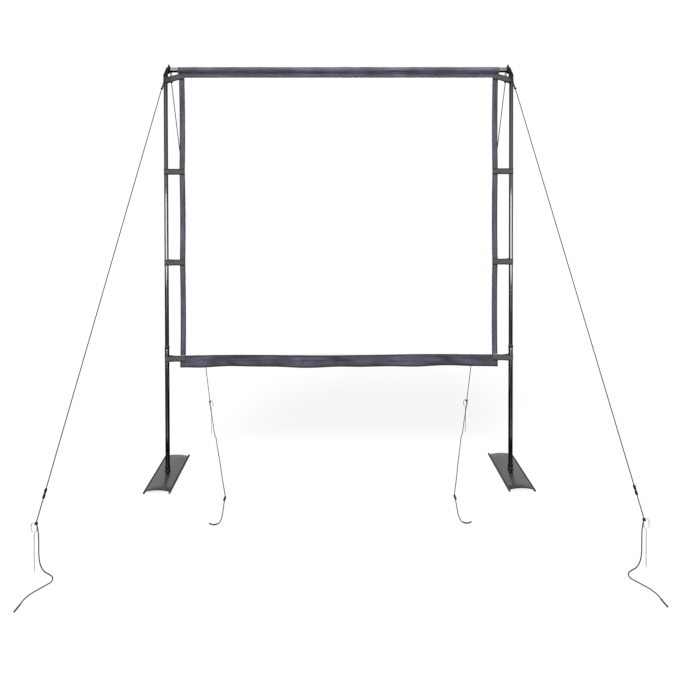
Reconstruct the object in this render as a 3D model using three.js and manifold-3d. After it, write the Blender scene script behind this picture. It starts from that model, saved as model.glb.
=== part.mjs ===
// Free-standing projection screen: a white fabric stretched between two telescopic poles on arched steel feet, with a
// top bar and four guy ropes. Millimetres, +Z up. The origin is on the floor midway between the poles, the screen faces
// -Y, and +X is to the viewer's right.
import * as THREE from "three";
import { mergeVertices } from "three/addons/utils/BufferGeometryUtils.js";
import Module from "manifold-3d";

const wasm = await Module();
wasm.setup();

// Driving dimensions
const clearance = 0.3; // gap between pieces that touch

// Screen
const screenWidth = 1538; // white area
const screenHeight = 1388;
const fabricThickness = 0.8;
const borderThickness = 2.4;
const sideBorderWidth = 23;
const hemHeight = 60;
const hemOverhang = 5; // past the side borders, each side
const sleeveOverhang = 8;
const sleeveSkin = 1.2; // cloth round the top bar
const sleeveSeamDrop = 18; // from the bar's axis down to the seam that closes the sleeve
const sleeveDrop = 38; // from the bar's axis down to the sleeve's lower edge

// Top bar
const topBarHeight = 2021; // axis above the floor
const topBarDiameter = 25;
const topBarWall = 1.5;
const barSpigotLength = 160;
const barSpigotWall = 1.5;

// Poles
const strapReach = 70; // from the side border's edge to the pole's axis
const lowerPoleDiameter = 22;
const poleWall = 0.6;
const poleOverlap = 204; // upper pole inside the lower one
const plugStemLength = 20;
const plugFlange = 6;

// Twist lock
const collarGap = 35; // from the lowest strap up to the collar
const collarHeight = 10;
const collarDiameter = 24.2;
const collarGrip = 4; // collar below the lower pole's rim
const colletFlangeHeight = 3;
const colletFlangeDiameter = 23.4;
const colletSlit = 2;

// Corner elbow and rope eye
const elbowDrop = 32; // from the bar's axis down to the pole's top rim
const elbowInset = 26; // from the pole's axis to the bar's end
const elbowThickness = 22;
const elbowBevel = 2;
const elbowShoulder = 4; // straight outer side above the pole
const elbowCornerCut = 17; // what the slanted outer corner takes off the top
const elbowFillet = 12;
const elbowSpigotLength = 45;
const eyeInset = 17; // from the pole's axis to the eye
const eyeRingRadius = 6.5; // to the middle of the wire
const eyeWire = 3.6;
const eyeShank = 6;
const eyeShankLength = 13;

// Straps
const strapWidth = 30;
const strapThickness = 1.6;
const strapLap = 20; // sewn on the border
const strapJoin = 28; // from the border's edge to where the loop parts
const strapEase = 0.5; // between loop and pole
const secondStrapDrop = 468; // below the white area's top edge
const thirdStrapDrop = 921;
const topStrapLift = 5; // middle of the sewn end above the white area's top edge
const topStrapRise = 17; // from the pole up to the fabric

// Feet
const footWidth = 122;
const footLength = 387;
const footRise = 8; // of the arch
const footPlateThickness = 2.5;
const stripSole = 2.5; // rubber under the plate's edge
const stripLip = 1.5;
const stripGrip = 5; // how far the strip reaches over the plate
const stripOverhang = 14; // past each end of the plate
const socketHeight = 28;
const socketWall = 1.5;
const socketFloor = 4;
const boltDiameter = 8;
const boltHeadDiameter = 18;
const boltHeadHeight = 5;
const boltTail = 2; // bolt above its nut
const nutAcross = 13;
const nutHeight = 6.5;
const screwDiameter = 4;
const screwHeadDiameter = 7;
const screwHeadHeight = 3;
const screwHeight = 15; // above the socket's foot

// Guy ropes, sliders and pegs
const ropeDiameter = 4;
const knotDiameter = 13;
const sliderLength = 36;
const sliderDiameter = 10;
const sliderEnd = 3; // rounding of the slider's ends
const frontSliderUp = 103; // along the rope, from the knot to the slider's middle
const backSliderUp = 680;
const pegWire = 4;
const pegRodHeight = 154; // floor to the foot of the ring
const pegPoint = 14;
const pegPointTip = 1; // diameter of the blunt tip
const pegRingWidth = 22; // to the middle of the wire
const pegRingHeight = 39;
const pegRingStart = -60; // degrees round the ring, where the rod's bend runs into it
const pegRingEnd = 250; // degrees round the ring, where the wire ends
const pegBend = 12; // height of the rod's bend
const knotTurn = 45; // degrees up the ring's side that the rope comes from
const frontPeg = [1154, -806]; // X and Y on the floor
const backPeg = [738, 500];

// Loose tails from the knot to the floor and over it, right-hand side: X, Y and Z of the rope's middle.
const floorLine = ropeDiameter / 2 + 0.2;
const frontTail = [
  [1140, -811, 181],
  [1135, -812, 150],
  [1134, -812, 110],
  [1134, -811, 66],
  [1129, -811, 34],
  [1115, -813, 11],
  [1094, -818, floorLine],
  [1074, -835, floorLine],
  [1066, -860, floorLine],
  [1086, -895, floorLine],
  [1108, -928, floorLine],
  [1119, -962, floorLine],
  [1119, -994, floorLine],
  [1121, -1026, floorLine],
];
const backTail = [
  [744, 492, 180],
  [740, 489, 150],
  [733, 487, 110],
  [726, 485, 66],
  [720, 480, 28],
  [713, 466, 8],
  [699, 432, floorLine],
  [685, 372, floorLine],
  [662, 281, floorLine],
  [633, 164, floorLine],
  [603, 43, floorLine],
  [578, -62, floorLine],
  [552, -165, floorLine],
  [534, -241, floorLine],
  [528, -310, floorLine],
  [520, -390, floorLine],
  [518, -440, floorLine],
  [524, -472, floorLine],
  [542, -483, floorLine],
  [563, -472, floorLine],
];

// Facets
const roundSides = 20;
const smallSides = 10;
const ropeSides = 8;
const knotRings = 6;
const arcSteps = 8;
const loopSteps = 10;
const archSteps = 16;
const ringSteps = 22;
const tailSteps = 36;

// Places that follow from the driving dimensions
const whiteTop = topBarHeight - sleeveDrop;
const whiteBottom = whiteTop - screenHeight;
const borderEdge = screenWidth / 2 + sideBorderWidth;
const poleX = borderEdge + strapReach;
const lowerPoleRadius = lowerPoleDiameter / 2;
const lowerBoreRadius = lowerPoleRadius - poleWall;
const upperPoleRadius = lowerBoreRadius - clearance;
const upperBoreRadius = upperPoleRadius - poleWall;
const barRadius = topBarDiameter / 2;
const barBoreRadius = barRadius - topBarWall;
const barEnd = poleX - elbowInset;
const upperPoleTop = topBarHeight - elbowDrop;
const bottomStrapHeight = whiteBottom - strapWidth / 2;
const collarBottom = bottomStrapHeight + strapWidth / 2 + collarGap;
const collarTop = collarBottom + collarHeight;
const lowerPoleTop = collarBottom + collarGrip;
const upperPoleBottom = lowerPoleTop - poleOverlap;
const ropeRadius = ropeDiameter / 2;
const eyeHeight = topBarHeight + barRadius + clearance + eyeWire / 2 + eyeRingRadius;
const eyePlace = new THREE.Vector3(poleX - eyeInset, 0, eyeHeight);

// The foot plate's arch: circles about a middle that lies below the floor
const archHalf = footWidth / 2;
const archUnder = (archHalf ** 2 + footRise ** 2) / (2 * footRise);
const archOver = archUnder + footPlateThickness;
const archMiddle = stripSole + footRise - archUnder;
const archAngle = Math.asin(archHalf / archUnder);
const plateTop = archMiddle + archOver;
const socketBottom = plateTop + clearance;
const poleBottom = socketBottom + socketFloor + clearance;
const socketBoreRadius = lowerPoleRadius + clearance;
const socketRadius = socketBoreRadius + socketWall;
const boltHoleRadius = boltDiameter / 2 + clearance;

// Solids and booleans
function solidOf(geometry) {
  const bare = new THREE.BufferGeometry();
  const soup = geometry.index ? geometry.toNonIndexed() : geometry;
  bare.setAttribute("position", soup.getAttribute("position").clone());
  const merged = mergeVertices(bare, 1e-4);
  const corners = merged.index.array;
  const kept = [];
  for (let i = 0; i < corners.length; i += 3) {
    const [a, b, c] = corners.slice(i, i + 3);
    if (a !== b && b !== c && c !== a) kept.push(a, b, c);
  }
  const vertProperties = merged.getAttribute("position").array;
  return new wasm.Manifold(new wasm.Mesh({ numProp: 3, vertProperties, triVerts: new Uint32Array(kept) }));
}

function geometryOf(solid) {
  const mesh = solid.getMesh();
  const geometry = new THREE.BufferGeometry();
  geometry.setAttribute("position", new THREE.BufferAttribute(new Float32Array(mesh.vertProperties), 3));
  geometry.setIndex(new THREE.BufferAttribute(new Uint32Array(mesh.triVerts), 1));
  geometry.computeVertexNormals();
  return geometry;
}

function joined(first, ...others) {
  return geometryOf(others.reduce((whole, other) => whole.add(solidOf(other)), solidOf(first)));
}

function cut(body, ...tools) {
  return geometryOf(tools.reduce((left, tool) => left.subtract(solidOf(tool)), solidOf(body)));
}

// A profile of [radius, height] points turned about +Z
function turned(profile, sides = roundSides) {
  const points = profile.map(([radius, height]) => new THREE.Vector2(radius, height));
  return new THREE.LatheGeometry(points, sides).rotateX(Math.PI / 2);
}

function tube(outerRadius, innerRadius, bottom, top, sides = roundSides) {
  const profile = [
    [innerRadius, bottom],
    [outerRadius, bottom],
    [outerRadius, top],
    [innerRadius, top],
    [innerRadius, bottom],
  ];
  return turned(profile, sides);
}

function rod(radius, bottom, top, sides = roundSides) {
  const profile = [
    [0, bottom],
    [radius, bottom],
    [radius, top],
    [0, top],
  ];
  return turned(profile, sides);
}

// Turns a +Z solid so that it runs along the given direction
function along(geometry, direction) {
  const turn = new THREE.Quaternion().setFromUnitVectors(new THREE.Vector3(0, 0, 1), direction.clone().normalize());
  return geometry.applyQuaternion(turn);
}

// An outline extruded with its own X and Y laid along the given axes
function extruded(shape, depth, across, up, options = {}) {
  const geometry = new THREE.ExtrudeGeometry(shape, {
    depth,
    bevelEnabled: false,
    curveSegments: arcSteps,
    ...options,
  });
  const basis = new THREE.Matrix4().makeBasis(across, up, new THREE.Vector3().crossVectors(across, up));
  return geometry.translate(0, 0, -depth / 2).applyMatrix4(basis);
}

const axisX = new THREE.Vector3(1, 0, 0);
const axisY = new THREE.Vector3(0, 1, 0);
const axisZ = new THREE.Vector3(0, 0, 1);

function rectangle(left, bottom, right, top) {
  const shape = new THREE.Shape();
  shape.moveTo(left, bottom);
  shape.lineTo(right, bottom);
  shape.lineTo(right, top);
  shape.lineTo(left, top);
  return shape;
}

// A round tube swept along a curve
function swept(curve, radius, steps) {
  const section = new THREE.Shape();
  for (let i = 0; i < ropeSides; i += 1) {
    const angle = (2 * Math.PI * i) / ropeSides;
    const place = [radius * Math.cos(angle), radius * Math.sin(angle)];
    if (i === 0) section.moveTo(...place);
    else section.lineTo(...place);
  }
  return new THREE.ExtrudeGeometry(section, { steps, extrudePath: curve });
}

// Foot
function archPoint(radius, angle) {
  return [radius * Math.sin(angle), archMiddle + radius * Math.cos(angle)];
}

function archLine(radius, from, to, steps) {
  const points = [];
  for (let i = 0; i <= steps; i += 1) points.push(archPoint(radius, from + ((to - from) * i) / steps));
  return points;
}

function outline(points) {
  return new THREE.Shape(points.map(([x, y]) => new THREE.Vector2(x, y)));
}

function footPlate() {
  const section = outline([
    ...archLine(archUnder, -archAngle, archAngle, archSteps),
    ...archLine(archOver, archAngle, -archAngle, archSteps),
  ]);
  const sheet = extruded(section, footLength, axisX, axisZ);
  return cut(sheet, rod(boltHoleRadius, 0, plateTop + footPlateThickness, smallSides));
}

// The rubber strip on the plate's outer edge, with a slot for the plate
function footStrip() {
  const inner = archAngle - stripGrip / archUnder;
  const slotEnd = archAngle + clearance / archUnder;
  const outer = slotEnd + stripLip / archUnder;
  const slotUnder = archUnder - clearance;
  const slotOver = archOver + clearance;
  const [outerX] = archPoint(slotOver + stripLip, outer);
  const [innerX] = archPoint(slotUnder - stripLip / 2, inner);
  const section = outline([
    ...archLine(slotOver + stripLip, inner, outer, arcSteps / 2),
    [outerX, 0],
    [innerX, 0],
    archPoint(slotUnder - stripLip / 2, inner),
    ...archLine(slotUnder, inner, slotEnd, arcSteps / 2),
    ...archLine(slotOver, slotEnd, inner, arcSteps / 2),
  ]);
  return extruded(section, footLength + 2 * stripOverhang, axisX, axisZ);
}

function footSocket() {
  const floorTop = socketBottom + socketFloor;
  const rim = socketBottom + socketHeight;
  const body = turned([
    [boltHoleRadius, socketBottom],
    [socketRadius, socketBottom],
    [socketRadius, rim],
    [socketBoreRadius, rim],
    [socketBoreRadius, floorTop],
    [boltHoleRadius, floorTop],
    [boltHoleRadius, socketBottom],
  ]);
  const hole = along(rod(screwDiameter / 2 + clearance, 0, 2 * socketRadius, smallSides), new THREE.Vector3(0, -1, 0));
  return cut(body, hole.translate(0, 0, socketBottom + screwHeight));
}

function footBolt() {
  const headRadius = boltHeadDiameter / 2;
  const seat = archMiddle + Math.sqrt(archUnder ** 2 - headRadius ** 2) - clearance;
  const end = socketBottom + socketFloor + clearance + nutHeight + boltTail;
  return turned(
    [
      [0, seat - boltHeadHeight],
      [headRadius / 2, seat - boltHeadHeight],
      [headRadius, seat - boltHeadHeight / 2],
      [headRadius, seat],
      [boltDiameter / 2, seat],
      [boltDiameter / 2, end],
      [0, end],
    ],
    smallSides,
  );
}

function footNut() {
  const hexagon = new THREE.Shape();
  const corner = nutAcross / Math.sqrt(3);
  for (let i = 0; i < 6; i += 1) {
    const angle = (i * Math.PI) / 3;
    const place = [corner * Math.cos(angle), corner * Math.sin(angle)];
    if (i === 0) hexagon.moveTo(...place);
    else hexagon.lineTo(...place);
  }
  const hole = new THREE.Path();
  hole.absarc(0, 0, boltHoleRadius, 0, 2 * Math.PI, true);
  hexagon.holes.push(hole);
  const middle = socketBottom + socketFloor + clearance + nutHeight / 2;
  return extruded(hexagon, nutHeight, axisX, axisY, { curveSegments: smallSides }).translate(0, 0, middle);
}

function footScrew() {
  const headFoot = socketRadius + clearance;
  const profile = [
    [0, lowerPoleRadius + clearance],
    [screwDiameter / 2, lowerPoleRadius + clearance],
    [screwDiameter / 2, headFoot],
    [screwHeadDiameter / 2, headFoot],
    [screwHeadDiameter / 2, headFoot + screwHeadHeight / 2],
    [screwHeadDiameter / 3, headFoot + screwHeadHeight],
    [0, headFoot + screwHeadHeight],
  ];
  const screw = along(turned(profile, smallSides), new THREE.Vector3(0, -1, 0));
  return screw.translate(0, 0, socketBottom + screwHeight);
}

// Pole and twist lock
function lockCollar() {
  const bore = lowerPoleRadius + clearance;
  const radius = collarDiameter / 2;
  const chamfer = (radius - bore) / 2;
  return turned([
    [bore, collarBottom],
    [radius - chamfer, collarBottom],
    [radius, collarBottom + chamfer],
    [radius, collarTop - chamfer],
    [radius - chamfer, collarTop],
    [bore, collarTop],
    [bore, collarBottom],
  ]);
}

function lockCollet() {
  const bore = upperPoleRadius + clearance;
  const foot = lowerPoleTop + clearance;
  const shoulder = collarTop + clearance;
  const top = shoulder + colletFlangeHeight;
  const flange = colletFlangeDiameter / 2;
  const ring = turned([
    [bore, foot],
    [lowerPoleRadius, foot],
    [lowerPoleRadius, shoulder],
    [flange, shoulder],
    [flange, top],
    [bore, top],
    [bore, foot],
  ]);
  const slit = new THREE.BoxGeometry(colletSlit, 2 * flange, 2 * (top - foot));
  return cut(ring, slit.translate(0, flange, foot));
}

function polePlug() {
  const top = upperPoleBottom - clearance;
  return turned([
    [0, top - plugFlange],
    [upperPoleRadius, top - plugFlange],
    [upperPoleRadius, top],
    [upperBoreRadius - clearance, top],
    [upperBoreRadius - clearance, top + plugStemLength],
    [0, top + plugStemLength],
  ]);
}

// Corner elbow, on the pole's axis at the bar's height
function cornerElbow() {
  const seat = clearance - elbowDrop;
  const barFace = clearance - elbowInset;
  const side = new THREE.Shape();
  side.moveTo(-upperPoleRadius, seat);
  side.lineTo(upperPoleRadius, seat);
  side.lineTo(upperPoleRadius, seat + elbowShoulder);
  side.lineTo(upperPoleRadius - elbowCornerCut, barRadius);
  side.lineTo(barFace, barRadius);
  side.lineTo(barFace, -barRadius);
  side.quadraticCurveTo(-upperPoleRadius, -barRadius, -upperPoleRadius, -barRadius - elbowFillet);
  const body = extruded(side, elbowThickness - 2 * elbowBevel, axisX, axisZ, {
    bevelEnabled: true,
    bevelThickness: elbowBevel,
    bevelSize: elbowBevel,
    bevelOffset: -elbowBevel,
    bevelSegments: 2,
  });
  const poleSpigot = rod(upperBoreRadius - clearance, seat - elbowSpigotLength, seat + elbowBevel);
  const barSpigot = along(
    rod(barBoreRadius - clearance, -elbowBevel, elbowSpigotLength),
    new THREE.Vector3(-1, 0, 0),
  ).translate(barFace, 0, 0);
  const eyeHole = rod(eyeShank / 2 + clearance, barRadius - eyeShankLength - clearance, 2 * barRadius, smallSides);
  return cut(joined(body, poleSpigot, barSpigot), eyeHole.translate(-eyeInset, 0, 0));
}

function ropeEye() {
  const ring = new THREE.TorusGeometry(eyeRingRadius, eyeWire / 2, ropeSides, 2 * arcSteps).rotateY(Math.PI / 2);
  const lowest = -eyeRingRadius - eyeWire / 2 - clearance;
  const shank = rod(eyeShank / 2, lowest - eyeShankLength, -eyeRingRadius, smallSides);
  return joined(ring, shank);
}

// Strap round a pole, sewn on the front of the border; its frame is on the pole's axis at the strap's middle
function tangentAngle(x, y, radius, side) {
  return Math.atan2(y, x) + side * Math.acos(radius / Math.hypot(x, y));
}

function strap(poleRadius, rise) {
  const inside = poleRadius + strapEase;
  const outside = inside + strapThickness;
  const back = -borderThickness / 2 - clearance;
  const front = back - strapThickness;
  const parting = strapJoin - strapReach;
  const shape = new THREE.Shape();
  const startAngle = tangentAngle(parting, front, outside, 1);
  const endAngle = tangentAngle(parting, back, outside, -1);
  shape.moveTo(-strapReach - strapLap, back);
  shape.lineTo(-strapReach - strapLap, front);
  shape.lineTo(-strapReach, front);
  shape.lineTo(parting, front);
  shape.absarc(0, 0, outside, startAngle, endAngle, false);
  shape.lineTo(parting, back);
  shape.lineTo(-strapReach, back);
  const middle = (front + back) / 2;
  const tip = parting + strapThickness;
  const hole = new THREE.Path();
  hole.absarc(0, 0, inside, tangentAngle(tip, middle, inside, 1), tangentAngle(tip, middle, inside, -1), false);
  hole.lineTo(tip, middle);
  shape.holes.push(hole);
  const geometry = extruded(shape, strapWidth, axisX, axisY, { curveSegments: loopSteps });
  const places = geometry.getAttribute("position");
  for (let i = 0; i < places.count; i += 1) {
    const run = THREE.MathUtils.clamp(-places.getX(i) - outside, 0, strapReach - outside);
    places.setZ(i, places.getZ(i) + (rise * run) / (strapReach - outside));
  }
  return geometry;
}

// Fabric pieces
function topSleeve() {
  const outside = barRadius + clearance + sleeveSkin;
  const half = borderThickness / 2;
  const angle = tangentAngle(half, -sleeveSeamDrop, outside, 1);
  const section = new THREE.Shape();
  section.moveTo(-half, -sleeveDrop + clearance);
  section.lineTo(half, -sleeveDrop + clearance);
  section.lineTo(half, -sleeveSeamDrop);
  section.absarc(0, 0, outside, angle, Math.PI - angle, false);
  section.lineTo(-half, -sleeveSeamDrop);
  const tunnel = new THREE.Path();
  tunnel.absarc(0, 0, barRadius + clearance, 0, 2 * Math.PI, true);
  section.holes.push(tunnel);
  const length = 2 * (borderEdge + sleeveOverhang);
  return extruded(section, length, axisY, axisZ, { curveSegments: roundSides });
}

function panel(width, bottom, top, thickness) {
  return extruded(rectangle(-width / 2, bottom, width / 2, top), thickness, axisX, axisZ);
}

// Guy rope, slider and peg
class PegRing extends THREE.Curve {
  getPoint(t, target = new THREE.Vector3()) {
    const angle = THREE.MathUtils.degToRad(THREE.MathUtils.lerp(pegRingStart, pegRingEnd, t));
    const middle = pegRodHeight + pegRingHeight / 2;
    const x = (pegRingWidth / 2) * Math.cos(angle);
    return target.set(x, 0, middle + (pegRingHeight / 2) * Math.sin(angle));
  }
}

function ringWire(radius) {
  const ring = new PegRing();
  const start = ring.getPoint(0);
  const foot = new THREE.Vector3(0, 0, pegRodHeight - pegBend);
  const bend = new THREE.QuadraticBezierCurve3(foot, new THREE.Vector3(0, 0, pegRodHeight), start);
  const path = new THREE.CurvePath();
  path.add(bend);
  path.add(ring);
  return swept(path, radius, ringSteps);
}

function peg() {
  const wire = pegWire / 2;
  const shaft = turned(
    [
      [0, 0],
      [pegPointTip / 2, 0],
      [wire, pegPoint],
      [wire, pegRodHeight - pegBend + wire],
      [0, pegRodHeight - pegBend + wire],
    ],
    ropeSides,
  );
  return joined(shaft, ringWire(wire));
}

// side is 1 where the rope comes to the ring from +X, and -1 from -X
function knotPlace(pegPlace, side) {
  const angle = THREE.MathUtils.degToRad(knotTurn);
  const x = pegPlace[0] + (side * pegRingWidth * Math.cos(angle)) / 2;
  const z = pegRodHeight + (pegRingHeight * (1 + Math.sin(angle))) / 2;
  return new THREE.Vector3(x, pegPlace[1], z);
}

// towards is -1 for a front rope and 1 for a back rope
function ropeStart(towards) {
  const reach = eyeRingRadius + eyeWire / 2 + clearance + ropeRadius;
  return eyePlace.clone().add(new THREE.Vector3(0, towards * reach, 0));
}

function guyRope(pegPlace, side, towards, tailPoints) {
  const knot = knotPlace(pegPlace, side);
  const stay = swept(new THREE.LineCurve3(ropeStart(towards), knot), ropeRadius, 1);
  const ball = new THREE.SphereGeometry(knotDiameter / 2, smallSides, knotRings);
  ball.translate(knot.x, knot.y, knot.z);
  const points = tailPoints.map(([x, y, z]) => new THREE.Vector3(x, y, z));
  const tailCurve = new THREE.CatmullRomCurve3([knot, ...points], false, "centripetal");
  const tail = swept(tailCurve, ropeRadius, tailSteps);
  const wire = ringWire(pegWire / 2 + clearance);
  if (side < 0) wire.rotateZ(Math.PI);
  wire.translate(pegPlace[0], pegPlace[1], 0);
  return cut(joined(ball, stay, tail), wire);
}

function slider(knot, start, up) {
  const half = sliderLength / 2;
  const radius = sliderDiameter / 2;
  const bore = ropeRadius + clearance;
  const barrel = turned(
    [
      [bore, -half],
      [radius - sliderEnd / 2, -half],
      [radius, sliderEnd - half],
      [radius, half - sliderEnd],
      [radius - sliderEnd / 2, half],
      [bore, half],
      [bore, -half],
    ],
    smallSides,
  );
  const direction = start.clone().sub(knot).normalize();
  const middle = knot.clone().addScaledVector(direction, up);
  return along(barrel, direction).translate(middle.x, middle.y, middle.z);
}

// Materials
function finish(colour, roughness, metalness) {
  return new THREE.MeshStandardMaterial({ color: colour, roughness, metalness });
}

const glossBlack = finish(0x141416, 0.22, 0.6);
const satinGrey = finish(0x757575, 0.45, 0.7);
const blackPlastic = finish(0x1b1b1d, 0.5, 0);
const palePlastic = finish(0xb9bbbd, 0.45, 0);
const rubber = finish(0x2b2b2d, 0.85, 0);
const steel = finish(0xb4b6b8, 0.3, 0.9);
const whiteFabric = finish(0xf4f4f4, 0.9, 0);
const greyFabric = finish(0x56565f, 0.9, 0);
const webbing = finish(0x5c5c60, 0.85, 0);
const rope = finish(0x3a3a3e, 0.8, 0);

const screen = new THREE.Group();

function add(group, name, geometry, material, place = [0, 0, 0]) {
  const mesh = new THREE.Mesh(geometry, material);
  mesh.name = name;
  mesh.position.set(...place);
  group.add(mesh);
  return mesh;
}

// One side of the stand, made as the right-hand side; the left is its mirror image
function addSide(name, mirror) {
  const side = new THREE.Group();
  side.scale.x = mirror;
  screen.add(side);

  const foot = new THREE.Group();
  foot.position.x = poleX;
  side.add(foot);
  add(foot, `${name}_foot_plate`, footPlate(), satinGrey);
  add(foot, `${name}_foot_outer_strip`, footStrip(), rubber);
  add(foot, `${name}_foot_inner_strip`, footStrip(), rubber).rotation.z = Math.PI;
  add(foot, `${name}_foot_socket`, footSocket(), blackPlastic);
  add(foot, `${name}_foot_bolt`, footBolt(), steel);
  add(foot, `${name}_foot_nut`, footNut(), steel);
  add(foot, `${name}_foot_screw`, footScrew(), steel);

  const pole = new THREE.Group();
  pole.position.x = poleX;
  side.add(pole);
  add(pole, `${name}_lower_pole`, tube(lowerPoleRadius, lowerBoreRadius, poleBottom, lowerPoleTop), glossBlack);
  add(pole, `${name}_lock_collar`, lockCollar(), blackPlastic);
  add(pole, `${name}_lock_collet`, lockCollet(), palePlastic);
  add(pole, `${name}_upper_pole`, tube(upperPoleRadius, upperBoreRadius, upperPoleBottom, upperPoleTop), glossBlack);
  add(pole, `${name}_pole_plug`, polePlug(), blackPlastic);
  add(pole, `${name}_corner_elbow`, cornerElbow(), blackPlastic, [0, 0, topBarHeight]);
  add(side, `${name}_rope_eye`, ropeEye(), steel, eyePlace.toArray());

  const topStrapHeight = whiteTop + topStrapLift - topStrapRise;
  add(pole, `${name}_strap_1`, strap(upperPoleRadius, topStrapRise), webbing, [0, 0, topStrapHeight]);
  add(pole, `${name}_strap_2`, strap(upperPoleRadius, 0), webbing, [0, 0, whiteTop - secondStrapDrop]);
  add(pole, `${name}_strap_3`, strap(upperPoleRadius, 0), webbing, [0, 0, whiteTop - thirdStrapDrop]);
  add(pole, `${name}_strap_4`, strap(lowerPoleRadius, 0), webbing, [0, 0, bottomStrapHeight]);

  const borderWidth = sideBorderWidth - clearance;
  const border = panel(borderWidth, whiteBottom + clearance, whiteTop - clearance, borderThickness);
  add(side, `${name}_side_border`, border, greyFabric, [borderEdge - borderWidth / 2, 0, 0]);
  const bar = along(tube(barRadius, barBoreRadius, clearance / 2, barEnd), axisX);
  add(side, `${name}_top_bar`, bar, glossBlack, [0, 0, topBarHeight]);

  const frontRope = guyRope(frontPeg, -1, -1, frontTail);
  add(side, `${name}_front_rope`, frontRope, rope);
  const frontSlider = slider(knotPlace(frontPeg, -1), ropeStart(-1), frontSliderUp);
  add(side, `${name}_front_slider`, frontSlider, blackPlastic);
  add(side, `${name}_front_peg`, peg(), steel, [...frontPeg, 0]).rotation.z = Math.PI;
  const backRope = guyRope(backPeg, 1, 1, backTail);
  add(side, `${name}_back_rope`, backRope, rope);
  const backSlider = slider(knotPlace(backPeg, 1), ropeStart(1), backSliderUp);
  add(side, `${name}_back_slider`, backSlider, blackPlastic);
  add(side, `${name}_back_peg`, peg(), steel, [...backPeg, 0]);
}

addSide("left", -1);
addSide("right", 1);

const spigotRadius = barBoreRadius - clearance;
const spigot = tube(spigotRadius, spigotRadius - barSpigotWall, -barSpigotLength / 2, barSpigotLength / 2);
add(screen, "top_bar_spigot", along(spigot, axisX), steel, [0, 0, topBarHeight]);
add(screen, "top_sleeve", topSleeve(), greyFabric, [0, 0, topBarHeight]);
const white = panel(screenWidth, whiteBottom + clearance, whiteTop - clearance, fabricThickness);
add(screen, "screen_fabric", white, whiteFabric);
const hemWidth = 2 * (borderEdge + hemOverhang);
add(screen, "bottom_hem", panel(hemWidth, whiteBottom - hemHeight, whiteBottom, borderThickness), greyFabric);

export default screen;
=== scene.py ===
"""A free-standing projection screen: two telescopic poles on arched foot plates, a top bar, the
screen with its borders and straps, and four guy ropes with sliders and ring-top pegs."""

from math import acos, asin, atan2, cos, exp, hypot, pi, radians, sin, sqrt, tau
from typing import NamedTuple

import bmesh
import bpy
from mathutils import Matrix, Vector, noise


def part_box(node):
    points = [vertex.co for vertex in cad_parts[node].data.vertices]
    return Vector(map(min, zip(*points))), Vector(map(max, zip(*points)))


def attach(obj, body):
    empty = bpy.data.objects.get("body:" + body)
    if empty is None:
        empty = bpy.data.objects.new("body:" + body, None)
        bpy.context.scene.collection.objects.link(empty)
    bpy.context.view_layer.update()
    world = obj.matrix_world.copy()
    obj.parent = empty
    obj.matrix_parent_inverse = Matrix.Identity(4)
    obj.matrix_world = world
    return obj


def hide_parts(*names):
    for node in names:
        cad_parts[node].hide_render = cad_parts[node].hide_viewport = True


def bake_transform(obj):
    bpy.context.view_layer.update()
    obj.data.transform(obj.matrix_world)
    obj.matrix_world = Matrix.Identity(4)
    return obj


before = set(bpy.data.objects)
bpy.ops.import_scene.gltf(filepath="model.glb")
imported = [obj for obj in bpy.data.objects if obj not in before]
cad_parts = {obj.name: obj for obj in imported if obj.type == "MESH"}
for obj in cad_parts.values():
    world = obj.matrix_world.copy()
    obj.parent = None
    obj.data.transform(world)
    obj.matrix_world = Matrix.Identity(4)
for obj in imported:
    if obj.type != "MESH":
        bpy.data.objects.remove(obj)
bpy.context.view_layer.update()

# Sizes in metres. X is to the right, the front faces -Y, Z is up. A side's pieces are made on the
# right and mirrored for the left.
SIDES = {"left": -1, "right": 1}
GAP = 0.0003  # between pieces that touch
RIM = 0.0004  # rounding of a tube's rim and of other small edges
SHARP_ANGLE = 35  # degrees, from which an edge stays sharp
UP = Vector((0, 0, 1))
FORWARD = Vector((0, -1, 0))
OUTWARD = Vector((1, 0, 0))

IMAGE = 680  # the photograph's width and height in pixels
FOCAL = 640  # pixels
EYE_LEVEL = 1.48
EYE_DISTANCE = 3.2
EYE_TURN = -0.5  # degrees round the screen
EYE_PITCH = 0.8  # degrees down
EYE_ROLL = -0.1  # degrees
AXIS_PIXEL = (339.0, 187.45)  # where the view axis meets the image

POLE_WALL = 0.0006
BAR_WALL = 0.0015
FOOT_WIDTH = 0.122
FOOT_RISE = 0.008
PLATE = 0.0025
PLATE_EDGE = 0.0006
STRIP_SOLE = 0.0025
STRIP_LIP = 0.0015
STRIP_GRIP = 0.005
STRIP_EDGE = 0.0009
SOCKET_WALL = 0.0015
SOCKET_FLOOR = 0.004
SOCKET_EDGE = 0.0006
BOLT_HOLE = 0.0043  # radius
WELD = 0.0015  # radius of the bead round the socket
WELD_RIPPLE = 0.0002
WELD_RIPPLES = 30
WELD_OUT = 0.0007  # of the bead's middle, from the socket
WELD_LIFT = 0.0004
SCREW_RADIUS = 0.002
SCREW_HOLLOW = 0.0018  # depth of the key's hole
SCREW_KEY = 0.46  # the hole's half width, as a share of the head's radius
SCREW_CROWN = ((1, 0.0014), (0.93, 0.0006), (0.78, 0.0001), (0.62, 0))  # shares of it, and depths
KNURLS = 44  # round the lock ring
KNURL_DEPTH = 0.0003
RING_LIP = 0.0014  # plain band at each end of the lock ring
RING_SLOPE = 0.0005  # from there to the knurls
COLLET_SLIT = 0.002
COLLET_EDGE = 0.0005

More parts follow.
